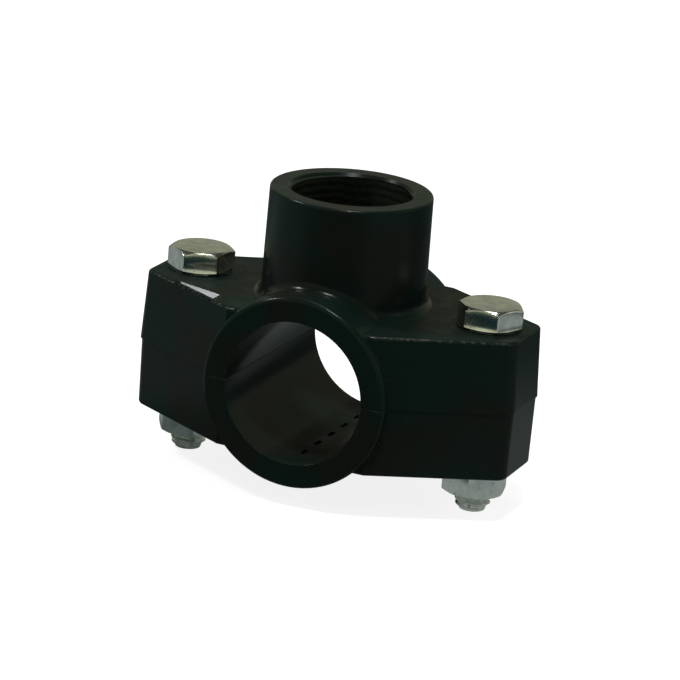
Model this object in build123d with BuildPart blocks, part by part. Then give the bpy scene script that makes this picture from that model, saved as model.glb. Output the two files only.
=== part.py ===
"""Tapping saddle: a moulded clamp in two halves, bolted round a pipe, with a threaded outlet on top.

Frame: the origin is on the pipe's axis, midway along the saddle. +Y runs along the pipe, +X from
bolt to bolt, and +Z up through the outlet. The two halves part on the plane z = 0.
All sizes are in millimetres.
"""

import os
from math import radians, sqrt, tan

from build123d import *

# Pipe and barrel: the tube-shaped middle that closes round the pipe
pipe_diameter = 32.0
barrel_wall = 5.4
barrel_length = 49.4
barrel_edge_radius = 1.0

# Wings: the tapered arms that carry the bolts
bolt_spacing = 69.2
wing_end_margin = 10.15
wing_tip_width = 17.1
wing_shoulder = 0.7
wing_knee_inset = 3.8
wing_corner_radius = 3.4
wing_edge_radius = 0.8
upper_wing_depth = 15.9
upper_wing_draft = 3.0
lower_wing_depth = 15.5
lower_wing_draft = 0.8
lower_outline_step = 0.25

# Moulding cores: pockets in the parting faces that keep the walls even
core_wall = 3.6
core_roof = 4.0
core_rib = 3.0
core_corner_radius = 0.8
bolt_boss_wall = 3.2

# Outlet boss, threaded inside; the bore is the thread's major diameter
thread_diameter = 26.44
thread_depth = 18.2
outlet_floor = 6.3
outlet_wall = 4.7
outlet_draft = 0.7
outlet_rim_radius = 0.7
outlet_root_radius = 2.2
mouth_chamfer = 0.8
branch_hole_diameter = 16.0

# Branch seal: a rubber ring in a groove round the branch hole, shown pressed flush with the bore
seal_inner_diameter = 19.0
seal_width = 3.0
seal_groove_depth = 2.2
seal_side_clearance = 0.2
seal_back_clearance = 0.05

# Grip pockets: a row of small slots along the bottom of the bore
grip_pocket_count = 5
grip_pocket_pitch = 7.4
grip_pocket_length = 3.2
grip_pocket_width = 1.0
grip_pocket_depth = 0.7

# Hexagon bolts and nuts
bolt_diameter = 8.0
bolt_projection = 4.1
bolt_hole_clearance = 0.5
bolt_tip_chamfer = 1.1
thread_running_clearance = 0.05
hexagon_width = 13.0
hexagon_chamfer_angle = 30.0
hexagon_chamfer_start = 0.96
bolt_head_height = 4.85
bolt_head_turns = {"left": 22.7, "right": 2.7}
nut_height = 6.3
nut_turns = {"left": 1.4, "right": 40.0}
seat_pad_diameter = 14.4
seat_pad_height = 0.4

# Sizes worked out from the ones above
pipe_radius = pipe_diameter / 2
barrel_radius = pipe_radius + barrel_wall
barrel_half = barrel_length / 2
bolt_x = bolt_spacing / 2
wing_end = bolt_x + wing_end_margin
bolt_hole_radius = bolt_diameter / 2 + bolt_hole_clearance
bolt_boss_radius = bolt_hole_radius + bolt_boss_wall
thread_radius = thread_diameter / 2
thread_floor = pipe_radius + outlet_floor
outlet_face = thread_floor + thread_depth
outlet_rim = thread_radius + outlet_wall
seal_outer_diameter = seal_inner_diameter + 2 * seal_width
boss_bottom = upper_wing_depth / 2
boss_foot = outlet_rim + (outlet_face - boss_bottom) * tan(radians(outlet_draft))
seat_plane = upper_wing_depth + seat_pad_height
bolt_length = seat_plane + lower_wing_depth + nut_height + bolt_projection
side_x = {"left": -bolt_x, "right": bolt_x}


def flank_ends(inset: float) -> tuple[float, float, float, float]:
    """Where a wing's straight flank starts beside the barrel and where it ends at the tip."""
    root_x = barrel_radius - wing_knee_inset
    root_y = barrel_half - wing_shoulder - inset
    return root_x, root_y, wing_end - inset, wing_tip_width / 2 - inset


def wing_outline(inset: float) -> list[tuple[float, float]]:
    """Corners of the long eight-sided plan of both wings, drawn in by inset."""
    root_x, root_y, end_x, tip_y = flank_ends(inset)
    right = [(root_x, -root_y), (end_x, -tip_y), (end_x, tip_y), (root_x, root_y)]
    return right + [(-x, -y) for x, y in right]


def core_outline(inset: float) -> list[tuple[float, float]]:
    """Corners of one core pocket, between the barrel, the centre rib and a wing's flank."""
    root_x, root_y, end_x, tip_y = flank_ends(inset)
    slope = (root_y - tip_y) / (end_x - root_x)
    wall_drop = core_wall * sqrt(1 + slope**2)
    far_x = bolt_x - bolt_boss_radius / 2
    near_y = root_y - wall_drop - slope * (barrel_radius - root_x)
    far_y = root_y - wall_drop - slope * (far_x - root_x)
    rib_y = core_rib / 2
    return [(barrel_radius, rib_y), (far_x, rib_y), (far_x, far_y), (barrel_radius, near_y)]


def clamp_half(wing_depth: float, wing_draft: float, inset: float) -> Part:
    """One half of the clamp's outer body, from the parting plane up: wings and half a barrel."""
    with BuildPart() as half:
        with BuildSketch() as plan:
            with BuildLine():
                Polyline(*wing_outline(inset), close=True)
            make_face()
            tips = plan.vertices().filter_by(lambda corner: abs(corner.X) > bolt_x)
            fillet(tips, wing_corner_radius)
        extrude(amount=wing_depth, taper=wing_draft)
        fillet(half.faces().sort_by(Axis.Z)[-1].edges(), wing_edge_radius)
        with BuildSketch(Plane.XZ):
            Circle(barrel_radius)
            with Locations((0, -barrel_radius)):
                Rectangle(2 * barrel_radius, 2 * barrel_radius, mode=Mode.SUBTRACT)
        extrude(amount=barrel_half, both=True)
        ends = half.faces().filter_by(Axis.Y).group_by(Axis.Y)
        rings = (ends[0] + ends[-1]).edges().filter_by(GeomType.CIRCLE)
        fillet(rings, barrel_edge_radius)
    return half.part


def clamp_voids(wing_depth: float, inset: float) -> Part:
    """What is cut from one half of the clamp: the pipe bore, the bolt holes and the core pockets."""
    with BuildPart() as voids:
        with BuildSketch(Plane.XZ):
            Circle(pipe_radius)
        extrude(amount=barrel_length, both=True)
        with BuildSketch():
            with GridLocations(bolt_spacing, 0, 2, 1):
                Circle(bolt_hole_radius)
        extrude(amount=wing_depth + barrel_radius)
        with BuildSketch() as cores:
            with BuildLine():
                Polyline(*core_outline(inset), close=True)
            make_face()
            with Locations((bolt_x, 0)):
                Circle(bolt_boss_radius, mode=Mode.SUBTRACT)
            fillet(cores.vertices(), core_corner_radius)
            mirror(about=Plane.XZ)
            mirror(about=Plane.YZ)
        extrude(amount=wing_depth - core_roof)
    return voids.part


def saddle_ring(inner_diameter: float, outer_diameter: float, back_radius: float) -> Part:
    """A ring seen from above, cut to the curve of the pipe: the seal, or the groove it lies in."""
    with BuildPart() as ring:
        with BuildSketch():
            Circle(outer_diameter / 2)
            Circle(inner_diameter / 2, mode=Mode.SUBTRACT)
        extrude(amount=back_radius)
        with BuildSketch(Plane.XZ):
            Circle(back_radius)
            Circle(pipe_radius, mode=Mode.SUBTRACT)
        extrude(amount=outer_diameter, both=True, mode=Mode.INTERSECT)
    return ring.part


def hexagon_block(height: float, turn: float, chamfer_both_ends: bool) -> Part:
    """A chamfered hexagon standing on z = 0, one flat's normal turned by turn degrees from -Y."""
    corner_radius = hexagon_width / sqrt(3)
    chamfer_radius = hexagon_chamfer_start * hexagon_width / 2
    drop = (corner_radius - chamfer_radius) * tan(radians(hexagon_chamfer_angle))
    low_radius = chamfer_radius if chamfer_both_ends else corner_radius
    low_drop = drop if chamfer_both_ends else 0.5 * drop
    with BuildPart() as block:
        with BuildSketch():
            RegularPolygon(hexagon_width / 2, 6, major_radius=False, rotation=turn)
        extrude(amount=height)
        with BuildSketch(Plane.XZ):
            with BuildLine():
                Polyline(
                    (0, 0),
                    (low_radius, 0),
                    (corner_radius, low_drop),
                    (corner_radius, height - drop),
                    (chamfer_radius, height),
                    (0, height),
                    close=True,
                )
            make_face()
        revolve(axis=Axis.Z, mode=Mode.INTERSECT)
    return block.part


def screw(length: float, turn: float) -> Part:
    """A hexagon bolt hanging below z = 0, with its head above it."""
    with BuildPart() as bolt:
        add(hexagon_block(bolt_head_height, turn, chamfer_both_ends=False))
        with BuildSketch():
            Circle(bolt_diameter / 2 - thread_running_clearance)
        extrude(amount=-length)
        tip = bolt.faces().sort_by(Axis.Z)[0].edges()
        chamfer(tip, length=bolt_tip_chamfer)
    return bolt.part


os.makedirs("parts", exist_ok=True)

# Upper shell: clamp half, seat pads and outlet boss, with everything cut into them
seal_groove = saddle_ring(
    seal_inner_diameter - 2 * seal_side_clearance,
    seal_outer_diameter + 2 * seal_side_clearance,
    pipe_radius + seal_groove_depth,
)

with BuildPart() as upper_shell:
    add(clamp_half(upper_wing_depth, upper_wing_draft, 0))
    with BuildSketch(Plane.XZ):
        with BuildLine():
            Polyline(
                (0, boss_bottom),
                (boss_foot, boss_bottom),
                (outlet_rim, outlet_face),
                (0, outlet_face),
                close=True,
            )
        make_face()
    revolve(axis=Axis.Z)
    boss_side = upper_shell.faces().filter_by(GeomType.CONE).sort_by(SortBy.AREA)[-1]
    roots = boss_side.edges().filter_by(lambda edge: edge.bounding_box().max.Z < thread_floor)
    fillet(roots, outlet_root_radius)
    rim = upper_shell.faces().sort_by(Axis.Z)[-1].edges()
    fillet(rim, outlet_rim_radius)
    with BuildSketch(Plane.XY.offset(upper_wing_depth / 2)):
        with GridLocations(bolt_spacing, 0, 2, 1):
            Circle(seat_pad_diameter / 2)
    extrude(amount=upper_wing_depth / 2 + seat_pad_height)
    add(clamp_voids(upper_wing_depth, lower_outline_step), mode=Mode.SUBTRACT)
    add(seal_groove, mode=Mode.SUBTRACT)
    with BuildSketch(Plane.XY.offset(thread_floor)):
        Circle(thread_radius)
    extrude(amount=thread_depth, mode=Mode.SUBTRACT)
    with BuildSketch():
        Circle(branch_hole_diameter / 2)
    extrude(amount=outlet_face, mode=Mode.SUBTRACT)
    mouth = upper_shell.edges().filter_by(GeomType.CIRCLE).group_by(Axis.Z)[-1].sort_by(SortBy.RADIUS)[0]
    chamfer(mouth, length=mouth_chamfer)
upper_shell.part.label = "upper_shell"

# Lower shell: the plain half, turned over, with the row of grip pockets along its bore
with BuildPart() as lower_shell:
    add(clamp_half(lower_wing_depth, lower_wing_draft, lower_outline_step))
    add(clamp_voids(lower_wing_depth, lower_outline_step), mode=Mode.SUBTRACT)
    with BuildSketch():
        with GridLocations(0, grip_pocket_pitch, 1, grip_pocket_count):
            SlotOverall(grip_pocket_length, grip_pocket_width, rotation=90)
    extrude(amount=pipe_radius + grip_pocket_depth, mode=Mode.SUBTRACT)
    mirror(about=Plane.XY, mode=Mode.REPLACE)
lower_shell.part.label = "lower_shell"

# Branch seal: fills its groove with a little room at each side
branch_seal = saddle_ring(
    seal_inner_diameter,
    seal_outer_diameter,
    pipe_radius + seal_groove_depth - seal_back_clearance,
)
branch_seal.label = "branch_seal"

export_step(upper_shell.part, "parts/upper_shell.step")
export_step(lower_shell.part, "parts/lower_shell.step")
export_step(branch_seal, "parts/branch_seal.step")

# Bolts from above and nuts from below, one of each a side
for side, x in side_x.items():
    with BuildPart() as bolt:
        with Locations((x, 0, seat_plane)):
            add(screw(bolt_length, bolt_head_turns[side]))
    bolt.part.label = f"bolt_{side}"
    export_step(bolt.part, f"parts/bolt_{side}.step")

    with BuildPart() as nut:
        with Locations((x, 0, -lower_wing_depth - nut_height)):
            add(hexagon_block(nut_height, nut_turns[side], chamfer_both_ends=True))
            with Locations((0, 0, nut_height)):
                Hole(bolt_diameter / 2)
    nut.part.label = f"nut_{side}"
    export_step(nut.part, f"parts/nut_{side}.step")
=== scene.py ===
"""Looks of the tapping saddle: moulded shells, cut threads, zinc fasteners, studio light and camera.

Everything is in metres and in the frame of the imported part: the pipe runs along Y, the bolts stand at
plus and minus X, the outlet opens upwards along Z, and the two halves part on the plane z = 0.
"""

from __future__ import annotations

import logging
from collections.abc import Callable, Iterable
from dataclasses import dataclass, field
from enum import Enum
from math import cos, pi, radians, sin, tan

import bmesh
import bpy
from mathutils import Matrix, Vector


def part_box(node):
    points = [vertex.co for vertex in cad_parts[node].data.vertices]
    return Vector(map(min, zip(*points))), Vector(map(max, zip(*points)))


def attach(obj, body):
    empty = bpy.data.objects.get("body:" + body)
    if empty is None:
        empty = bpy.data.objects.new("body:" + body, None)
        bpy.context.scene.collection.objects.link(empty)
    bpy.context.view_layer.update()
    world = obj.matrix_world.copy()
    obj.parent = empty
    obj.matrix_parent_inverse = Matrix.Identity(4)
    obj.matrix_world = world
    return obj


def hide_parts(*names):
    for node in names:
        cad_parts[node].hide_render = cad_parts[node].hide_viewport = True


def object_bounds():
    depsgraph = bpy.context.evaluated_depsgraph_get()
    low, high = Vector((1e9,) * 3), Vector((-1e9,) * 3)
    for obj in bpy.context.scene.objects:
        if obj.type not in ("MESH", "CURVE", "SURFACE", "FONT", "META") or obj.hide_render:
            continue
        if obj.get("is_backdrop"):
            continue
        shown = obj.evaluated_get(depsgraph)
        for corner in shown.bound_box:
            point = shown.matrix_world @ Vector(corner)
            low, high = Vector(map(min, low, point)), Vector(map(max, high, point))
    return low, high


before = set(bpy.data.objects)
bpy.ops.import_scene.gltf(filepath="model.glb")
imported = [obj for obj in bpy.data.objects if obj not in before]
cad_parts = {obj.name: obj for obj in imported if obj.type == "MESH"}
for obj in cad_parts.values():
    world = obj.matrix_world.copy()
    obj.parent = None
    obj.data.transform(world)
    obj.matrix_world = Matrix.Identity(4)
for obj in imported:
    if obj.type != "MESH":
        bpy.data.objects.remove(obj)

log = logging.getLogger("tapping_saddle")

MM = 0.001
SHARP_ANGLE = radians(28.0)
THREAD_MERGE = 0.001 * MM
Colour = tuple[float, float, float]


class Side(Enum):
    """Which wing a fastener stands on, with the sign of its X."""

    LEFT = -1
    RIGHT = 1


class Slot(Enum):
    """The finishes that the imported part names."""

    PLASTIC = "black_plastic"
    ZINC = "zinc_steel"
    RUBBER = "black_rubber"


# ---------------------------------------------------------------------------------------------
# Node graphs
# ---------------------------------------------------------------------------------------------


@dataclass(frozen=True)
class Wire:
    """One output socket, on which Python's arithmetic adds Math nodes."""

    graph: Graph
    socket: bpy.types.NodeSocket

    def _math(self, operation: str, *values: Wire | float, clamp: bool = False) -> Wire:
        """Adds one Math node.

        Args:
            operation: The node's operation.
            values: Its inputs in order.
            clamp: Whether the result is kept between 0 and 1.

        Returns:
            The node's result.
        """
        settings = {"operation": operation, "use_clamp": clamp}
        return self.graph.node("ShaderNodeMath", settings, dict(enumerate(values))).out()

    def __add__(self, other: Wire | float) -> Wire:
        """self + other."""
        return self._math("ADD", self, other)

    def __radd__(self, other: float) -> Wire:
        """other + self."""
        return self._math("ADD", other, self)

    def __sub__(self, other: Wire | float) -> Wire:
        """self - other."""
        return self._math("SUBTRACT", self, other)

    def __rsub__(self, other: float) -> Wire:
        """other - self."""
        return self._math("SUBTRACT", other, self)

    def __mul__(self, other: Wire | float) -> Wire:
        """self * other."""
        return self._math("MULTIPLY", self, other)

    def __rmul__(self, other: float) -> Wire:
        """other * self."""
        return self._math("MULTIPLY", other, self)

    def __truediv__(self, other: Wire | float) -> Wire:
        """self / other."""
        return self._math("DIVIDE", self, other)

    def __lt__(self, other: Wire | float) -> Wire:
        """1 where self is under other, and 0 elsewhere."""
        return self._math("LESS_THAN", self, other)

    def least(self, other: Wire | float) -> Wire:
        """The smaller of the two."""
        return self._math("MINIMUM", self, other)

    def most(self, other: Wire | float) -> Wire:
        """The larger of the two."""
        return self._math("MAXIMUM", self, other)

    def size(self) -> Wire:
        """self without its sign."""
        return self._math("ABSOLUTE", self)

    def root(self) -> Wire:
        """The square root of self."""
        return self._math("SQRT", self)

    def clamped(self) -> Wire:
        """self kept between 0 and 1."""
        return self._math("ADD", self, 0.0, clamp=True)

    def ramp(self, low: float, high: float) -> Wire:
        """Spreads a range smoothly over 0 to 1.

        Args:
            low: The value that becomes 0.
            high: The value that becomes 1; it may lie under low.

        Returns:
            The smoothed share.
        """
        sockets = {"Value": self, "From Min": low, "From Max": high, "To Min": 0.0, "To Max": 1.0}
        return self.graph.node("ShaderNodeMapRange", {"interpolation_type": "SMOOTHSTEP"}, sockets).out()


@dataclass(frozen=True)
class Placed:
    """A node that has been added to a graph."""

    graph: Graph
    node: bpy.types.Node

    def out(self, name: str | int = 0) -> Wire:
        """One of the node's outputs in use, by name or by order."""
        outputs = [socket for socket in self.node.outputs if socket.enabled]
        if isinstance(name, int):
            return Wire(self.graph, outputs[name])
        found = next(socket for socket in outputs if name in (socket.name, socket.identifier))
        return Wire(self.graph, found)


class Graph:
    """Adds nodes to one tree, of a material, the world or a Geometry Nodes modifier."""

    def __init__(self, tree: bpy.types.NodeTree) -> None:
        """Takes the tree and empties it."""
        self.tree = tree
        self.tree.nodes.clear()

    def node(self, kind: str, settings: dict | None = None, sockets: dict | None = None) -> Placed:
        """Adds a node.

        Args:
            kind: The node's type name.
            settings: Its properties, set before its sockets.
            sockets: Values or wires for its inputs, by name, identifier or order.

        Returns:
            The node, ready to be wired on.
        """
        node = self.tree.nodes.new(kind)
        for name, value in (settings or {}).items():
            setattr(node, name, value)
        for name, value in (sockets or {}).items():
            self.feed(self._input(node, name), value)
        return Placed(self, node)

    @staticmethod
    def _input(node: bpy.types.Node, name: str | int) -> bpy.types.NodeSocket:
        """Finds an input in use by name, identifier or order."""
        inputs = [socket for socket in node.inputs if socket.enabled]
        if isinstance(name, int):
            return inputs[name]
        return next(socket for socket in inputs if name in (socket.name, socket.identifier))

    def feed(self, socket: bpy.types.NodeSocket, value: Wire | float | tuple) -> None:
        """Links a wire to an input, or sets its value.

        Args:
            socket: The input.
            value: A wire, a number, a vector, or a colour without its alpha.
        """
        if isinstance(value, Wire):
            self.tree.links.new(value.socket, socket)
        elif socket.type == "RGBA" and len(value) == 3:
            socket.default_value = (*value, 1.0)
        else:
            socket.default_value = value

    def mix(self, share: Wire | float, first: Wire | Colour, second: Wire | Colour) -> Wire:
        """Blends two colours.

        Args:
            share: How much of the second colour shows.
            first: The colour at 0.
            second: The colour at 1.

        Returns:
            The blended colour.
        """
        sockets = {"Factor_Float": share, "A_Color": first, "B_Color": second}
        return self.node("ShaderNodeMix", {"data_type": "RGBA"}, sockets).out("Result_Color")

    def place(self, stretch: Colour = (1.0, 1.0, 1.0), turn: Colour = (0.0, 0.0, 0.0)) -> Wire:
        """Object coordinates, stretched and turned for a pattern with a direction."""
        where = self.node("ShaderNodeTexCoord").out("Object")
        given = {"Vector": where, "Scale": stretch, "Rotation": turn}
        return self.node("ShaderNodeMapping", None, given).out()

    def parts(self, vector: Wire) -> tuple[Wire, Wire, Wire]:
        """The three components of a vector."""
        split = self.node("ShaderNodeSeparateXYZ", None, {0: vector})
        return split.out("X"), split.out("Y"), split.out("Z")

    def millimetres(self) -> tuple[Wire, Wire, Wire]:
        """The three object coordinates, in millimetres."""
        x, y, z = self.parts(self.place())
        return x / MM, y / MM, z / MM

    def noise(self, where: Wire, scale: float, detail: float = 3.0, roughness: float = 0.5) -> Wire:
        """Cloudy noise from 0 to 1.

        Args:
            where: The coordinates.
            scale: Clouds a metre.
            detail: Octaves of finer clouds.
            roughness: How strong the finer clouds are.

        Returns:
            The noise.
        """
        sockets = {"Vector": where, "Scale": scale, "Detail": detail, "Roughness": roughness}
        return self.node("ShaderNodeTexNoise", None, sockets).out()

    def specks(self, where: Wire, scale: float, share: float, radius: float) -> Wire:
        """Small round specks scattered over the surface.

        Args:
            where: The coordinates.
            scale: Cells a metre; a cell holds one speck at most.
            share: The share of the cells that hold one.
            radius: The speck's radius, as a share of a cell.

        Returns:
            1 on a speck and 0 elsewhere.
        """
        cells = self.node("ShaderNodeTexVoronoi", None, {"Vector": where, "Scale": scale})
        channels = self.node("ShaderNodeSeparateColor", None, {0: cells.out("Color")})
        return cells.out("Distance").ramp(radius, 0.5 * radius) * (channels.out(0) < share)

    def scratches(self, stretch: Colour, turn: Colour, scale: float, width: float) -> Wire:
        """Fine scratches that run mostly one way.

        Args:
            stretch: How the pattern is drawn out along each axis.
            turn: How it is turned.
            scale: Its fineness.
            width: How wide a scratch is, in the noise's own units.

        Returns:
            1 in a scratch and 0 elsewhere.
        """
        where = self.place(stretch, turn)
        line = (self.noise(where, scale, 1.0) - 0.5).size().ramp(width, 0.0)
        return line * self.noise(where, 0.37 * scale, 2.0).ramp(0.6, 0.68)

    def bump(self, height: Wire, depth: float, under: Wire | None = None) -> Wire:
        """Turns a height into a normal.

        Args:
            height: The height, in any unit.
            depth: What one such unit measures, in metres.
            under: A normal that this one lies on.

        Returns:
            The bumped normal.
        """
        sockets = {"Height": height, "Distance": depth, "Strength": 1.0}
        if under is not None:
            sockets["Normal"] = under
        return self.node("ShaderNodeBump", None, sockets).out()

    def rounded(self, radius: float) -> Wire:
        """The surface's normal, as if its sharp edges had this radius."""
        return self.node("ShaderNodeBevel", {"samples": 6}, {"Radius": radius}).out()

    def edges(self, rounded: Wire) -> Wire:
        """How far a rounded normal turns from the true one: 0 on a flat, rising at an edge."""
        true = self.node("ShaderNodeNewGeometry").out("Normal")
        likeness = self.node("ShaderNodeVectorMath", {"operation": "DOT_PRODUCT"}, {0: rounded, 1: true})
        return 1.0 - likeness.out("Value")


# ---------------------------------------------------------------------------------------------
# Finishes
# ---------------------------------------------------------------------------------------------


@dataclass(frozen=True)
class Finish:
    """What every finish has: a name, the record's slot, and a colour."""

    name: str
    slot: Slot
    colour: Colour

    def surface(self, graph: Graph) -> dict:
        """The inputs of the finish's Principled shader."""
        raise NotImplementedError

    def material(self) -> bpy.types.Material:
        """Builds the material once, and gives the same one after that."""
        found = bpy.data.materials.get(self.name)
        if found:
            return found
        material = bpy.data.materials.new(self.name)
        material.use_nodes = True
        graph = Graph(material.node_tree)
        shader = graph.node("ShaderNodeBsdfPrincipled", None, self.surface(graph))
        graph.node("ShaderNodeOutputMaterial", None, {"Surface": shader.out()})
        material.diffuse_color = (*self.colour, 1.0)
        return material

    def dress(self, piece: bpy.types.Object) -> None:
        """Gives a piece this finish alone."""
        piece.data.materials.clear()
        piece.data.materials.append(self.material())


@dataclass(frozen=True)
class MouldedPlastic(Finish):
    """Black moulded plastic: glossy on its sides, matt on its flat tops, with scuffs, dust and pale edges.

    Sizes in millimetres place the marks on the upper shell: a collar that stands a little proud round
    each bolt, one flattened glossy stretch on the edge of the left wing, a paler tint on the outlet's
    rim, painted light in its bore and thread, and pale spots along the wings' upper edges that are
    partly wear and partly a painted highlight.
    """

    cool_colour: Colour = (0.0042, 0.0112, 0.0086)
    # Pale tint for scuffs and wear, for the rim's paler tint, and for the painted highlight on edges.
    wear_and_sheen_colour: Colour = (0.106, 0.108, 0.08)
    # Painted light: a paler tone on the wall and thread of the outlet's bore.
    bore_painted_light_colour: Colour = (0.05, 0.066, 0.044)
    dust_colour: Colour = (0.35, 0.36, 0.34)
    rim_share: float = 0.11
    rubbed_and_sheen_share: float = 0.4
    scuffed_share: float = 0.12
    dusty_share: float = 0.9
    roughness: float = 0.16
    matt_roughness: float = 0.28
    refraction: float = 1.2
    wave_scale: float = 55.0
    mottle_scale: float = 210.0
    rub_and_sheen_scale: float = 1100.0
    leather_scale: float = 1300.0
    grain_scale: float = 3800.0
    edge_radius: float = 0.25 * MM
    wave_depth: float = 0.06 * MM
    grain_depth: float = 0.003 * MM
    matt_depth: float = 0.03 * MM
    scratch_depth: float = 0.01 * MM
    top_height: float = 15.9
    flat_slope: float = 1.0
    flat_line: tuple[float, float] = (22.9, 0.32)
    flat_ends: tuple[float, float, float, float] = (21.5, 22.5, 33.0, 36.0)
    bolt_x: float = 34.6
    collar: tuple[float, float] = (9.6, 8.8)
    collar_height: float = 0.1
    rim_height: float = 40.5
    bore_radius: float = 13.3
    bore_floor: float = 22.0
    wing_edge: tuple[float, float] = (32.9, 0.56)

    def on_top(self, z: Wire) -> Wire:
        """1 at the height of the wings' tops, and 0 under them."""
        return z.ramp(self.top_height - 0.6, self.top_height - 0.1)

    def flattened(self, graph: Graph) -> Wire:
        """How far a spot lies past the line where the left wing's edge is flattened, in millimetres."""
        x, y, z = graph.millimetres()
        start, lean = self.flat_line
        root, root_end, tip, tip_end = self.flat_ends
        past = (-1.0 * y - lean * x - start).most(0.0)
        along = (-1.0 * x).ramp(root, root_end) * (-1.0 * x).ramp(tip_end, tip)
        return past * along * self.on_top(z)

    def collars(self, graph: Graph) -> Wire:
        """How high the collars round the bolts stand on the wings' tops, in millimetres."""
        x, y, z = graph.millimetres()
        from_bolt = x.size() - self.bolt_x
        reach = (from_bolt * from_bolt + y * y).root()
        return self.collar_height * self.on_top(z) * reach.ramp(*self.collar)

    def rim(self, graph: Graph) -> Wire:
        """1 on the outlet's flat rim."""
        z = graph.millimetres()[2]
        return z.ramp(self.rim_height - 0.25, self.rim_height - 0.05)

    def bore(self, graph: Graph) -> Wire:
        """1 in the outlet's bore, thread and all, below its mouth."""
        x, y, z = graph.millimetres()
        inside = (x * x + y * y).root().ramp(self.bore_radius + 0.3, self.bore_radius)
        mouth = z.ramp(self.rim_height - 0.6, self.rim_height - 0.9)
        return inside * mouth * z.ramp(self.bore_floor, self.bore_floor + 1.0)

    def wing_edge_highlight(self, graph: Graph) -> Wire:
        """1 along the upper edges of the wings' long sides, where a pale painted highlight goes."""
        x, y, z = graph.millimetres()
        reach, lean = self.wing_edge
        past = y.size() + lean * x.size() - reach
        above = z.ramp(self.top_height - 0.7, self.top_height - 0.3)
        below = z.ramp(self.top_height + 0.5, self.top_height)
        return above * below * past.ramp(-0.7, -0.3)

    def surface(self, graph: Graph) -> dict:
        """The inputs of the plastic's shader."""
        where = graph.place()
        flattened = self.flattened(graph)
        facing_up = graph.parts(graph.node("ShaderNodeNewGeometry").out("Normal"))[2].ramp(0.9, 0.98)
        matt = facing_up * (1.0 - flattened.ramp(0.0, 0.2))
        waves = graph.noise(where, self.wave_scale, 1.0)
        mottle = graph.noise(where, self.mottle_scale, 4.0, 0.6)
        grain = graph.noise(where, self.grain_scale, 2.0)
        leather = graph.noise(where, self.leather_scale, 3.0, 0.6)
        scuffs = graph.scratches((1.0, 0.08, 0.6), (0.3, 0.2, 0.5), 900.0, 0.006)
        dust = graph.specks(where, 170.0, 0.12, 0.055)
        rounded = graph.rounded(self.edge_radius)
        # Edges are tinted pale, partly as wear and partly as a painted highlight.
        worn_and_sheen_edges = graph.edges(rounded).ramp(0.02, 0.2).most(self.wing_edge_highlight(graph))
        bore = self.bore(graph)
        rubbed_and_sheen = worn_and_sheen_edges * (1.0 - bore) * graph.noise(where, self.rub_and_sheen_scale, 3.0).ramp(0.45, 0.65)
        tone = graph.mix(waves.ramp(0.4, 0.6), self.colour, self.cool_colour)
        tone = graph.mix(self.rim_share * self.rim(graph), tone, self.wear_and_sheen_colour)
        # Painted light: the outlet's bore and thread are tinted paler than the plastic.
        tone = graph.mix(bore, tone, self.bore_painted_light_colour)
        tone = graph.mix(self.rubbed_and_sheen_share * rubbed_and_sheen, tone, self.wear_and_sheen_colour)
        tone = graph.mix(self.scuffed_share * scuffs, tone, self.wear_and_sheen_colour)
        tone = graph.mix(self.dusty_share * dust, tone, self.dust_colour)
        dull = self.matt_roughness * matt * (0.5 + mottle)
        roughness = self.roughness + dull + 0.1 * mottle + 0.1 * scuffs + 0.3 * dust
        normal = graph.bump(self.collars(graph) - self.flat_slope * flattened, MM, rounded)
        normal = graph.bump(waves, self.wave_depth, normal)
        normal = graph.bump(leather * matt, self.matt_depth, normal)
        normal = graph.bump(grain, self.grain_depth, normal)
        normal = graph.bump(1.0 - scuffs, self.scratch_depth, normal)
        return {
            "Base Color": tone,
            "Roughness": roughness.clamped(),
            "Normal": normal,
            "IOR": self.refraction,
        }


@dataclass(frozen=True)
class ZincPlate(Finish):
    """Bright zinc plating on forged steel: pale, faintly warm, cloudy and scuffed."""

    cloud_colour: Colour = (0.62, 0.63, 0.63)
    stain_colour: Colour = (0.20, 0.17, 0.13)
    stained_share: float = 0.5
    roughness: float = 0.11
    cloud_scale: float = 420.0
    dent_scale: float = 260.0
    stain_scale: float = 700.0
    grain_scale: float = 5200.0
    edge_radius: float = 0.15 * MM
    dent_depth: float = 0.02 * MM
    grain_depth: float = 0.003 * MM
    scratch_depth: float = 0.01 * MM
    head_base: float = 16.3
    foot_height: float = 2.2
    foot_slope: float = 0.5

    def foot(self, graph: Graph) -> Wire:
        """How far the foot of a head's flats flares out, in millimetres."""
        above = graph.millimetres()[2] - self.head_base
        down = (self.foot_height - above).most(0.0)
        return (0.5 * self.foot_slope / self.foot_height) * down * down * above.ramp(-0.1, 0.0)

    def surface(self, graph: Graph) -> dict:
        """The inputs of the plating's shader."""
        where = graph.place()
        clouds = graph.noise(where, self.cloud_scale, 4.0, 0.6)
        dents = graph.noise(where, self.dent_scale, 2.0)
        grain = graph.noise(where, self.grain_scale, 2.0)
        scuffs = graph.scratches((1.0, 0.15, 0.15), (0.2, 0.9, 0.4), 1400.0, 0.01)
        stains = graph.noise(where, self.stain_scale, 3.0).ramp(0.62, 0.75)
        rounded = graph.rounded(self.edge_radius)
        tone = graph.mix(clouds.ramp(0.35, 0.7), self.colour, self.cloud_colour)
        tone = graph.mix(self.stained_share * stains, tone, self.stain_colour)
        roughness = self.roughness + 0.1 * clouds + 0.15 * scuffs + 0.2 * stains
        normal = graph.bump(self.foot(graph), MM, rounded)
        normal = graph.bump(dents, self.dent_depth, normal)
        normal = graph.bump(grain, self.grain_depth, normal)
        normal = graph.bump(1.0 - scuffs, self.scratch_depth, normal)
        return {
            "Base Color": tone,
            "Metallic": 1.0 - 0.3 * stains,
            "Roughness": roughness.clamped(),
            "Normal": normal,
        }


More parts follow.
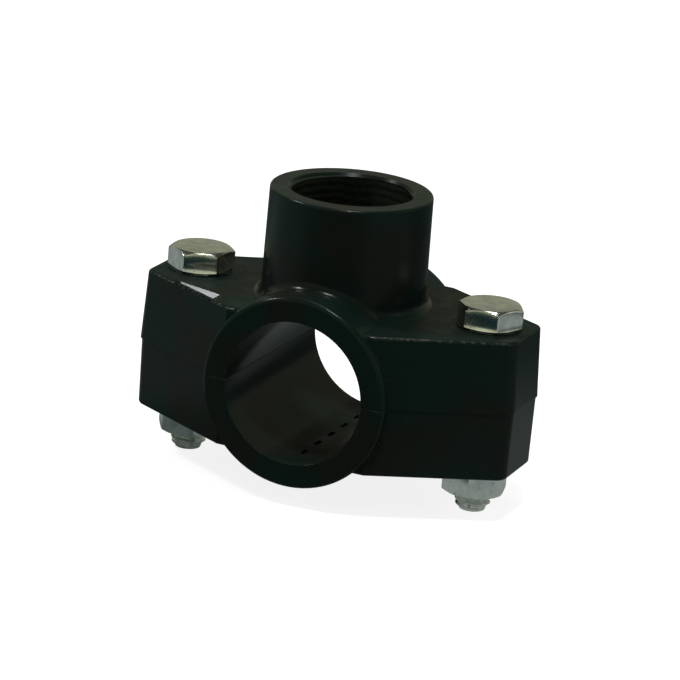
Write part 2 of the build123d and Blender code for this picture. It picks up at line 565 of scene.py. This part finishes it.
@dataclass(frozen=True)
class SealRubber(Finish):
    """Matt black rubber with a fine bloom."""

    bloom_colour: Colour = (0.05, 0.05, 0.052)
    roughness: float = 0.62
    bloom_scale: float = 600.0
    grain_scale: float = 5000.0
    grain_depth: float = 0.02 * MM
    edge_radius: float = 0.3 * MM

    def surface(self, graph: Graph) -> dict:
        """The inputs of the rubber's shader."""
        where = graph.place()
        bloom = graph.noise(where, self.bloom_scale, 4.0, 0.6)
        grain = graph.noise(where, self.grain_scale, 2.0)
        return {
            "Base Color": graph.mix(bloom.ramp(0.4, 0.75), self.colour, self.bloom_colour),
            "Roughness": (self.roughness + 0.2 * bloom).clamped(),
            "Normal": graph.bump(grain, self.grain_depth, graph.rounded(self.edge_radius)),
        }


PLASTIC = MouldedPlastic("moulded_black_plastic", Slot.PLASTIC, (0.0068, 0.0088, 0.0066))
ZINC = ZincPlate("zinc_plate", Slot.ZINC, (0.86, 0.85, 0.79))
RUBBER = SealRubber("seal_rubber", Slot.RUBBER, (0.012, 0.012, 0.013))


# ---------------------------------------------------------------------------------------------
# Mesh building
# ---------------------------------------------------------------------------------------------

Ring = Callable[[float], tuple[float, float]]


def new_piece(name: str, mesh: bpy.types.Mesh) -> bpy.types.Object:
    """Puts a mesh into the scene as a piece at the origin."""
    piece = bpy.data.objects.new(name, mesh)
    bpy.context.scene.collection.objects.link(piece)
    return piece


def tidy_mesh(mesh: bpy.types.Mesh, merge: float = 0.0) -> None:
    """Merges doubled points, points the faces outwards and shades them smooth between sharp edges.

    Args:
        mesh: The mesh, changed in place.
        merge: How near two points are when they count as one; 0 leaves them.
    """
    work = bmesh.new()
    work.from_mesh(mesh)
    if merge:
        bmesh.ops.remove_doubles(work, verts=work.verts, dist=merge)
    bmesh.ops.recalc_face_normals(work, faces=work.faces)
    work.to_mesh(mesh)
    work.free()
    mesh.shade_smooth()
    mesh.set_sharp_from_angle(angle=SHARP_ANGLE)


def lathe(
    rings: Iterable[Ring], steps: int, centre: Vector, start: float = 0.0, closed: bool = False
) -> bpy.types.Mesh:
    """Joins rings round a vertical axis into one closed surface.

    Args:
        rings: Functions from an angle to a radius and a height, from one end to the other. A ring whose
            radius is nothing becomes one point.
        steps: Points a ring.
        centre: Where the axis stands, and the height that the rings count from.
        start: The angle of each ring's first point.
        closed: Whether the last ring joins the first, as round a hole.

    Returns:
        The mesh.
    """
    work = bmesh.new()
    angles = [start + 2 * pi * step / steps for step in range(steps)]
    rows = []
    for ring in rings:
        spots = [ring(angle) for angle in angles]
        if max(radius for radius, _ in spots) < 1e-9:
            rows.append([work.verts.new(centre + Vector((0, 0, spots[0][1])))] * steps)
            continue
        row = []
        for angle, (radius, height) in zip(angles, spots):
            row.append(work.verts.new(centre + Vector((radius * cos(angle), radius * sin(angle), height))))
        rows.append(row)
    pairs = list(zip(rows, rows[1:] + rows[:1] if closed else rows[1:]))
    for low, high in pairs:
        for step in range(steps):
            after = (step + 1) % steps
            corners = list(dict.fromkeys((low[step], low[after], high[after], high[step])))
            work.faces.new(corners)
    mesh = bpy.data.meshes.new("lathe")
    work.to_mesh(mesh)
    work.free()
    return mesh


def round_ring(radius: float, height: float) -> Ring:
    """A plain round ring."""
    return lambda angle: (radius, height)


@dataclass
class HelixRidge:
    """A thread's ridge, swept along a helix by Geometry Nodes.

    The ridge stands out from its root radius, or inwards where its height is negative, and fades into
    the wall over its run-out at both ends.
    """

    root_radius: float
    height: float
    pitch: float
    turns: float
    start: Vector
    root_share: float = 0.9
    crest_share: float = 0.14
    fade_turns: float = 0.6
    steps_a_turn: int = 56

    TREE_NAME = "helix_ridge"

    @classmethod
    def tree(cls) -> bpy.types.NodeTree:
        """Builds the sweep once, and gives the same tree after that."""
        found = bpy.data.node_groups.get(cls.TREE_NAME)
        if found:
            return found
        tree = bpy.data.node_groups.new(cls.TREE_NAME, "GeometryNodeTree")
        graph = Graph(tree)
        face = tree.interface
        face.new_socket("Geometry", in_out="OUTPUT", socket_type="NodeSocketGeometry")
        for name in ("Root Radius", "Height", "Pitch", "Turns", "Root Width", "Crest Width", "Fade"):
            face.new_socket(name, in_out="INPUT", socket_type="NodeSocketFloat")
        face.new_socket("Start", in_out="INPUT", socket_type="NodeSocketVector")
        face.new_socket("Steps", in_out="INPUT", socket_type="NodeSocketInt")
        face.new_socket("Material", in_out="INPUT", socket_type="NodeSocketMaterial")
        given = graph.node("NodeGroupInput")
        rise = given.out("Pitch") * given.out("Turns")
        spiral = graph.node(
            "GeometryNodeCurveSpiral",
            None,
            {
                "Resolution": given.out("Steps"),
                "Rotations": given.out("Turns"),
                "Start Radius": given.out("Root Radius"),
                "End Radius": given.out("Root Radius"),
                "Height": rise,
            },
        )
        upright = graph.node("GeometryNodeSetCurveNormal", {"mode": "Z_UP"}, {"Curve": spiral.out()})
        along = graph.node("GeometryNodeSplineParameter").out("Factor")
        from_end = along.least(1.0 - along) / given.out("Fade")
        swelling = from_end.least(1.0)
        section = graph.node(
            "GeometryNodeCurvePrimitiveQuadrilateral",
            {"mode": "TRAPEZOID"},
            {
                "Bottom Width": given.out("Root Width"),
                "Top Width": given.out("Crest Width"),
                "Height": given.out("Height"),
                "Offset": 0.0,
            },
        )
        standing = graph.node(
            "GeometryNodeTransform",
            None,
            {
                "Geometry": section.out(),
                "Translation": graph.node(
                    "ShaderNodeCombineXYZ", None, {"Y": 0.5 * given.out("Height")}
                ).out(),
            },
        )
        outward = graph.node(
            "GeometryNodeTransform",
            None,
            {"Geometry": standing.out(), "Rotation": (0.0, 0.0, radians(90.0))},
        )
        swept = graph.node(
            "GeometryNodeCurveToMesh",
            None,
            {
                "Curve": upright.out(),
                "Profile Curve": outward.out(),
                "Scale": swelling,
                "Fill Caps": True,
            },
        )
        placed = graph.node(
            "GeometryNodeTransform", None, {"Geometry": swept.out(), "Translation": given.out("Start")}
        )
        real = graph.node("GeometryNodeRealizeInstances", None, {"Geometry": placed.out()})
        finished = graph.node(
            "GeometryNodeSetMaterial",
            None,
            {"Geometry": real.out(), "Material": given.out("Material")},
        )
        graph.node("NodeGroupOutput", None, {"Geometry": finished.out()})
        return tree

    def mesh(self, finish: Finish) -> bpy.types.Mesh:
        """Sweeps the ridge and gives it as a plain mesh.

        Args:
            finish: What the ridge is made of.

        Returns:
            The mesh, in place.
        """
        holder = new_piece("ridge_holder", bpy.data.meshes.new("ridge_holder"))
        modifier = holder.modifiers.new("helix", "NODES")
        modifier.node_group = self.tree()
        values = {
            "Root Radius": self.root_radius,
            "Height": self.height,
            "Pitch": self.pitch,
            "Turns": self.turns,
            "Root Width": self.root_share * self.pitch,
            "Crest Width": self.crest_share * self.pitch,
            "Fade": self.fade_turns / self.turns,
            "Start": self.start,
            "Steps": self.steps_a_turn,
            "Material": finish.material(),
        }
        for item in modifier.node_group.interface.items_tree:
            if item.in_out == "INPUT":
                modifier[item.identifier] = values[item.name]
        graph = bpy.context.evaluated_depsgraph_get()
        mesh = bpy.data.meshes.new_from_object(holder.evaluated_get(graph))
        holder.modifiers.remove(modifier)
        bpy.data.objects.remove(holder)
        return mesh


def join_meshes(name: str, meshes: Iterable[bpy.types.Mesh]) -> bpy.types.Mesh:
    """Puts several closed meshes into one.

    Args:
        name: The new mesh's name.
        meshes: The meshes, each tidied already.

    Returns:
        The joined mesh.
    """
    work = bmesh.new()
    for mesh in meshes:
        work.from_mesh(mesh)
    joined = bpy.data.meshes.new(name)
    work.to_mesh(joined)
    work.free()
    return joined


# ---------------------------------------------------------------------------------------------
# Sub-assemblies
# ---------------------------------------------------------------------------------------------


@dataclass
class Hexagon:
    """The six-sided body of a bolt head or a nut, its corners cut back by a cone."""

    height: float
    turn: float
    across_flats: float = 13.0 * MM
    chamfer_start: float = 0.96
    chamfer_angle: float = radians(30.0)

    @property
    def flat_angle(self) -> float:
        """The way that the first flat faces."""
        return self.turn - pi / 2

    def side(self, angle: float) -> float:
        """The hexagon's radius in one direction."""
        from_flat = (angle - self.flat_angle + pi / 6) % (pi / 3) - pi / 6
        return 0.5 * self.across_flats / cos(from_flat)

    @property
    def crown_radius(self) -> float:
        """The radius at which the cone starts."""
        return 0.5 * self.chamfer_start * self.across_flats

    def drop(self, angle: float) -> float:
        """How far the cone lowers the hexagon's edge in one direction."""
        return (self.side(angle) - self.crown_radius) * tan(self.chamfer_angle)

    def top_rings(self, base: float) -> list[Ring]:
        """The side's upper edge and the crown's round edge.

        Args:
            base: The height at which the hexagon stands.

        Returns:
            Both rings, the lower one first.
        """
        top = base + self.height
        edge: Ring = lambda angle: (self.side(angle), top - self.drop(angle))
        return [edge, round_ring(self.crown_radius, top)]

    def bottom_rings(self, base: float, cut: float = 1.0) -> list[Ring]:
        """The underside's round edge and the side's lower edge.

        Args:
            base: The height at which the hexagon stands.
            cut: How much of the cone's drop the lower side has.

        Returns:
            Both rings, the lower one first.
        """
        edge: Ring = lambda angle: (self.side(angle), base + cut * self.drop(angle))
        return [round_ring(self.crown_radius, base), edge]


@dataclass
class ScrewThread:
    """A metric thread: its outer radius, pitch and depth."""

    radius: float = 3.95 * MM
    pitch: float = 1.25 * MM
    depth_share: float = 0.61

    @property
    def depth(self) -> float:
        """How deep the thread is cut."""
        return self.depth_share * self.pitch

    @property
    def core_radius(self) -> float:
        """The radius at the bottom of the thread."""
        return self.radius - self.depth


@dataclass
class Fasteners:
    """Both hexagon bolts and their nuts."""

    head_turns: dict[Side, float] = field(default_factory=lambda: {Side.LEFT: 22.7, Side.RIGHT: 2.7})
    nut_turns: dict[Side, float] = field(default_factory=lambda: {Side.LEFT: 1.4, Side.RIGHT: 40.0})
    head_height: float = 4.85 * MM
    neck_height: float = 2.4 * MM
    neck_taper: float = 0.6 * MM
    tip_chamfer: float = 1.1 * MM
    tip_inset: float = 0.35 * MM
    ridge_bite: float = 0.02 * MM
    hole_gap: float = 0.04 * MM
    countersink: float = 0.3 * MM
    steps: int = 96
    thread: ScrewThread = field(default_factory=ScrewThread)
    bevel: float = 0.12 * MM
    bevel_angle: float = radians(20.0)

    def build(self) -> None:
        """Makes the four pieces."""
        for side in Side:
            self.bolt(side)
            self.nut(side)

    @staticmethod
    def axis(node: str) -> tuple[Vector, float, float]:
        """The foot of a fastener's axis, and its lowest and highest point."""
        low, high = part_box(node)
        return Vector((0.5 * (low.x + high.x), 0, 0)), low.z, high.z

    def bolt(self, side: Side) -> None:
        """Makes one bolt, with its thread running up to a short plain neck."""
        name = f"bolt_{side.name.lower()}"
        foot, low, high = self.axis(name)
        seat = high - self.head_height
        head = Hexagon(self.head_height, radians(self.head_turns[side]))
        core = self.thread.core_radius
        neck = seat - self.neck_height
        tip = core - self.tip_inset
        rings = [
            round_ring(0.0, low),
            round_ring(tip, low),
            round_ring(core, low + self.tip_chamfer),
            round_ring(core, neck - self.neck_taper),
            round_ring(self.thread.radius, neck),
            round_ring(self.thread.radius, seat),
            *head.bottom_rings(seat, 0.5)[1:],
            *head.top_rings(seat),
            round_ring(0.0, high),
        ]
        body = lathe(rings, self.steps, foot, head.flat_angle)
        tidy_mesh(body)
        body = self.softened(body)
        turns = (neck - low - self.tip_chamfer) / self.thread.pitch
        start = foot + Vector((0, 0, low + 0.5 * self.tip_chamfer))
        root, height = core - self.ridge_bite, self.thread.depth + self.ridge_bite
        swept = HelixRidge(root, height, self.thread.pitch, turns, start).mesh(ZINC)
        tidy_mesh(swept, THREAD_MERGE)
        self.finish(name, [body, swept], "upper_half")

    def nut(self, side: Side) -> None:
        """Makes one nut, countersunk at both ends of its hole."""
        name = f"nut_{side.name.lower()}"
        foot, low, high = self.axis(name)
        body = Hexagon(high - low, radians(self.nut_turns[side]))
        hole = self.thread.radius + self.hole_gap
        sink = self.countersink
        rings = [
            *body.bottom_rings(low),
            *body.top_rings(low),
            round_ring(hole + sink, high),
            round_ring(hole, high - sink),
            round_ring(hole, low + sink),
            round_ring(hole + sink, low),
        ]
        mesh = lathe(rings, self.steps, foot, body.flat_angle, closed=True)
        tidy_mesh(mesh)
        self.finish(name, [self.softened(mesh)], f"{side.name.lower()}_nut")

    def softened(self, mesh: bpy.types.Mesh) -> bpy.types.Mesh:
        """Rounds the sharp edges of a mesh a little.

        Args:
            mesh: A tidied mesh.

        Returns:
            The rounded mesh.
        """
        holder = new_piece("soft_holder", mesh)
        bevel = holder.modifiers.new("soft_edges", "BEVEL")
        bevel.width = self.bevel
        bevel.segments = 2
        bevel.limit_method = "ANGLE"
        bevel.angle_limit = self.bevel_angle
        graph = bpy.context.evaluated_depsgraph_get()
        soft = bpy.data.meshes.new_from_object(holder.evaluated_get(graph))
        bpy.data.objects.remove(holder)
        return soft

    @staticmethod
    def finish(node: str, meshes: list[bpy.types.Mesh], body: str) -> None:
        """Joins a fastener's meshes, dresses it and puts it in its node's place."""
        piece = new_piece(f"{node}_cut", join_meshes(f"{node}_cut", meshes))
        piece.data.shade_smooth()
        piece.data.set_sharp_from_angle(angle=SHARP_ANGLE)
        ZINC.dress(piece)
        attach(piece, body)
        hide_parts(node)
        log.info("%s: %d faces", piece.name, len(piece.data.polygons))


@dataclass
class OutletThread:
    """The pipe thread cut in the outlet, as the ridge that stands in its bore."""

    bore_radius: float = 13.22 * MM
    floor: float = 22.3 * MM
    mouth_chamfer: float = 0.8 * MM
    pitch: float = 1.814 * MM
    depth: float = 0.85 * MM
    bite: float = 0.03 * MM
    foot_turns: float = 0.5
    mouth_turns: float = 0.1
    run_out: float = 0.35

    def build(self) -> None:
        """Makes the ridge from just above the outlet's floor to its mouth."""
        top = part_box("upper_shell")[1].z - self.mouth_chamfer
        turns = (top - self.floor) / self.pitch - self.foot_turns + self.mouth_turns
        start = Vector((0, 0, self.floor + self.foot_turns * self.pitch))
        ridge = HelixRidge(
            self.bore_radius + self.bite,
            -self.depth - self.bite,
            self.pitch,
            turns,
            start,
            steps_a_turn=128,
            root_share=0.98,
            crest_share=0.08,
            fade_turns=self.run_out,
        )
        mesh = ridge.mesh(PLASTIC)
        tidy_mesh(mesh, THREAD_MERGE)
        piece = new_piece("outlet_thread", mesh)
        PLASTIC.dress(piece)
        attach(piece, "upper_half")
        log.info("%s: %d faces", piece.name, len(mesh.polygons))


@dataclass
class Shells:
    """Both moulded halves and the seal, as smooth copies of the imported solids."""

    merge: float = 0.002 * MM
    face_weight: int = 80

    def build(self) -> None:
        """Makes the three pieces."""
        self.copy("upper_shell", "upper_half", PLASTIC)
        self.copy("lower_shell", "lower_half", PLASTIC)
        self.copy("branch_seal", "upper_half", RUBBER)

    def copy(self, node: str, body: str, finish: Finish) -> None:
        """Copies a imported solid, joins its loose triangles and shades it by its larger faces.

        Args:
            node: The solid's node.
            body: The body that it rides on.
            finish: What it is made of.
        """
        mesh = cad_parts[node].data.copy()
        mesh.name = f"{node}_moulded"
        if "custom_normal" in mesh.attributes:
            mesh.attributes.remove(mesh.attributes["custom_normal"])
        tidy_mesh(mesh, self.merge)
        piece = new_piece(mesh.name, mesh)
        weighted = piece.modifiers.new("face_weights", "WEIGHTED_NORMAL")
        weighted.keep_sharp = True
        weighted.weight = self.face_weight
        finish.dress(piece)
        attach(piece, body)
        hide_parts(node)
        log.info("%s: %d faces", piece.name, len(mesh.polygons))


# ---------------------------------------------------------------------------------------------
# Studio
# ---------------------------------------------------------------------------------------------


@dataclass
class Softbox:
    """An oblong area lamp that faces the object."""

    name: str
    azimuth: float
    elevation: float
    distance: float
    width: float
    height: float
    power: float
    colour: Colour

    def build(self) -> None:
        """Hangs the lamp."""
        lamp = bpy.data.lights.new(self.name, "AREA")
        lamp.shape = "RECTANGLE"
        lamp.size = self.width
        lamp.size_y = self.height
        lamp.energy = self.power
        lamp.color = self.colour
        stand = bpy.data.objects.new(self.name, lamp)
        away = direction(self.azimuth, self.elevation)
        stand.location = self.distance * away
        stand.rotation_euler = away.to_track_quat("Z", "Y").to_euler()
        bpy.context.scene.collection.objects.link(stand)


def direction(azimuth: float, elevation: float) -> Vector:
    """The way to a point seen at an azimuth round from -Y towards +X and an elevation, in degrees."""
    a, e = radians(azimuth), radians(elevation)
    return Vector((sin(a) * cos(e), -cos(a) * cos(e), sin(e)))


@dataclass
class Camera:
    """A long lens that looks down on the saddle from the front right."""

    azimuth: float = 21.774
    elevation: float = 17.577
    roll: float = 4.898
    distance: float = 0.85
    lens: float = 203.62
    shift: tuple[float, float] = (0.0044, 0.0376)

    def build(self) -> None:
        """Sets the camera up."""
        lens = bpy.data.cameras.new("camera")
        lens.lens = self.lens
        lens.sensor_width = 36.0
        lens.shift_x, lens.shift_y = self.shift
        lens.clip_start = 0.01
        view = bpy.data.objects.new("camera", lens)
        back = direction(self.azimuth, self.elevation)
        right = Vector((cos(radians(self.azimuth)), sin(radians(self.azimuth)), 0))
        up = back.cross(right)
        tilt = radians(self.roll)
        across = cos(tilt) * right + sin(tilt) * up
        upward = cos(tilt) * up - sin(tilt) * right
        turn = Matrix((across, upward, back)).transposed().to_4x4()
        view.matrix_world = Matrix.Translation(self.distance * back) @ turn
        bpy.context.scene.collection.objects.link(view)
        bpy.context.scene.camera = view


@dataclass
class Studio:
    """A white floor, a white surround and soft lamps.

    Mirrored rays see the ground and the surround dimmer and tinted, the ground darkest straight ahead
    of the object, and the surround brightest there. Each span gives the values from which and up to
    which a share changes.
    """

    floor_size: float = 6.0
    floor_gap: float = 0.05 * MM
    floor_tone: float = 0.5
    floor_glow: float = 0.85
    shadow_share: float = 0.35
    fill: float = 0.3
    fill_colour: Colour = (1.0, 1.0, 0.96)
    white: Colour = (1.0, 1.0, 1.0)
    ground_mirrored: Colour = (0.25, 0.29, 0.28)
    ground_ahead: Colour = (0.008, 0.022, 0.022)
    surround_mirrored: Colour = (0.26, 0.275, 0.2)
    ceiling_share: float = 0.15
    ceiling_span: tuple[float, float] = (0.75, 0.35)
    ahead: float = 4.0
    ahead_span: tuple[float, float] = (0.88, 0.6)
    behind_share: float = 0.22
    behind_span: tuple[float, float] = (0.14, 0.05)
    front_share: float = 1.9
    front_span: tuple[float, float] = (0.6, 0.85)
    shade_place: tuple[float, float] = (-0.045, -0.02)
    shade_radius: float = 0.04
    shade_share: float = 0.3
    softboxes: tuple[Softbox, ...] = (
        Softbox("top_softbox", 202.0, 80.0, 0.9, 0.3, 0.2, 0.8, (1.0, 0.98, 0.92)),
        Softbox("key_softbox", 24.0, 70.0, 0.9, 0.14, 0.1, 4.0, (1.0, 0.99, 0.96)),
        Softbox("left_softbox", -79.0, 46.0, 0.9, 0.1, 0.12, 3.0, (0.97, 0.99, 1.0)),
        Softbox("right_softbox", 110.0, 20.0, 0.9, 0.3, 0.5, 0.25, (0.98, 0.98, 0.92)),
    )

    def build(self) -> None:
        """Makes the floor, the surround and the lamps."""
        self.floor()
        self.surround()
        for softbox in self.softboxes:
            softbox.build()
        bpy.context.scene.view_settings.view_transform = "Standard"

    @staticmethod
    def straight(graph: Graph) -> Wire:
        """1 for the rays that see the background itself, from the camera or through glass."""
        rays = graph.node("ShaderNodeLightPath")
        return (rays.out("Is Camera Ray") + rays.out("Is Transmission Ray")).clamped()

    def towards(self, graph: Graph, where: Wire) -> Wire:
        """How closely a place's bearing keeps to straight ahead, as a cosine."""
        bearing = graph.node("ShaderNodeVectorMath", {"operation": "NORMALIZE"}, {0: where}).out()
        facing = {0: bearing, 1: tuple(direction(self.ahead, 0.0))}
        return graph.node("ShaderNodeVectorMath", {"operation": "DOT_PRODUCT"}, facing).out("Value")

    def ground(self, graph: Graph) -> Wire:
        """The ground's colour to mirrored rays: dark ahead, dimmer behind and under the left wing."""
        where = graph.node("ShaderNodeTexCoord").out("Object")
        x, y, _ = graph.parts(where)
        # The patch under the left wing is painted shade on the ground, seen only in reflections.
        aside, along = (axis - spot for axis, spot in zip((x, y), self.shade_place))
        reach = (aside * aside + along * along).root()
        shaded = reach.ramp(0.5 * self.shade_radius, self.shade_radius)
        behind = y.ramp(*self.behind_span)
        share = self.behind_share + (1.0 - self.behind_share) * behind
        share = share * (self.shade_share + (1.0 - self.shade_share) * shaded)
        share = share * self.towards(graph, where).ramp(*self.ahead_span)
        return graph.mix(share, self.ground_ahead, self.ground_mirrored)

    def floor(self) -> None:
        """Lays a floor that is white to the camera and keeps the object's shadow."""
        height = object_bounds()[0][2] - self.floor_gap
        half = 0.5 * self.floor_size
        mesh = bpy.data.meshes.new("studio_floor")
        corners = [(-half, -half), (half, -half), (half, half), (-half, half)]
        mesh.from_pydata([(x, y, height) for x, y in corners], [], [(0, 1, 2, 3)])
        floor = new_piece("studio_floor", mesh)
        material = bpy.data.materials.new("pale_floor")
        material.use_nodes = True
        graph = Graph(material.node_tree)
        plain = graph.node("ShaderNodeBsdfDiffuse", None, {"Color": (self.floor_tone,) * 3})
        dim = graph.node("ShaderNodeBsdfDiffuse", None, {"Color": (self.shadow_share,) * 3})
        glow = graph.node("ShaderNodeEmission", None, {"Color": self.white, "Strength": self.floor_glow})
        bright = graph.node("ShaderNodeAddShader", None, {0: dim.out(), 1: glow.out()})
        either = {0: self.straight(graph), 1: plain.out(), 2: bright.out()}
        shown = graph.node("ShaderNodeMixShader", None, either)
        glimpse = graph.node("ShaderNodeEmission", None, {"Color": self.ground(graph), "Strength": 1.0})
        mirrored = graph.node("ShaderNodeLightPath").out("Is Glossy Ray")
        whole = graph.node("ShaderNodeMixShader", None, {0: mirrored, 1: shown.out(), 2: glimpse.out()})
        graph.node("ShaderNodeOutputMaterial", None, {"Surface": whole.out()})
        mesh.materials.append(material)
        floor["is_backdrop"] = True

    def surround(self) -> None:
        """Surrounds the object with plain light that the camera sees as white."""
        world = bpy.data.worlds.new("studio")
        world.use_nodes = True
        bpy.context.scene.world = world
        graph = Graph(world.node_tree)
        soft = graph.node("ShaderNodeBackground", None, {"Color": self.fill_colour, "Strength": self.fill})
        white = graph.node("ShaderNodeBackground", None, {"Color": self.white, "Strength": 1.0})
        either = {0: self.straight(graph), 1: soft.out(), 2: white.out()}
        shown = graph.node("ShaderNodeMixShader", None, either)
        where = graph.node("ShaderNodeTexCoord").out("Generated")
        front = 1.0 + (self.front_share - 1.0) * self.towards(graph, where).ramp(*self.front_span)
        low = graph.parts(where)[2].ramp(*self.ceiling_span)
        brightness = front * (self.ceiling_share + (1.0 - self.ceiling_share) * low)
        backdrop = {"Color": self.surround_mirrored, "Strength": brightness}
        glimpse = graph.node("ShaderNodeBackground", None, backdrop)
        mirrored = graph.node("ShaderNodeLightPath").out("Is Glossy Ray")
        whole = graph.node("ShaderNodeMixShader", None, {0: mirrored, 1: shown.out(), 2: glimpse.out()})
        graph.node("ShaderNodeOutputWorld", None, {"Surface": whole.out()})


def main() -> None:
    """Builds the saddle's looks in order, then the studio and the camera."""
    logging.basicConfig(level=logging.INFO, format="%(name)s: %(message)s")
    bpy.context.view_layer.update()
    Shells().build()
    OutletThread().build()
    Fasteners().build()
    Studio().build()
    Camera().build()


if __name__ == "__main__":
    main()
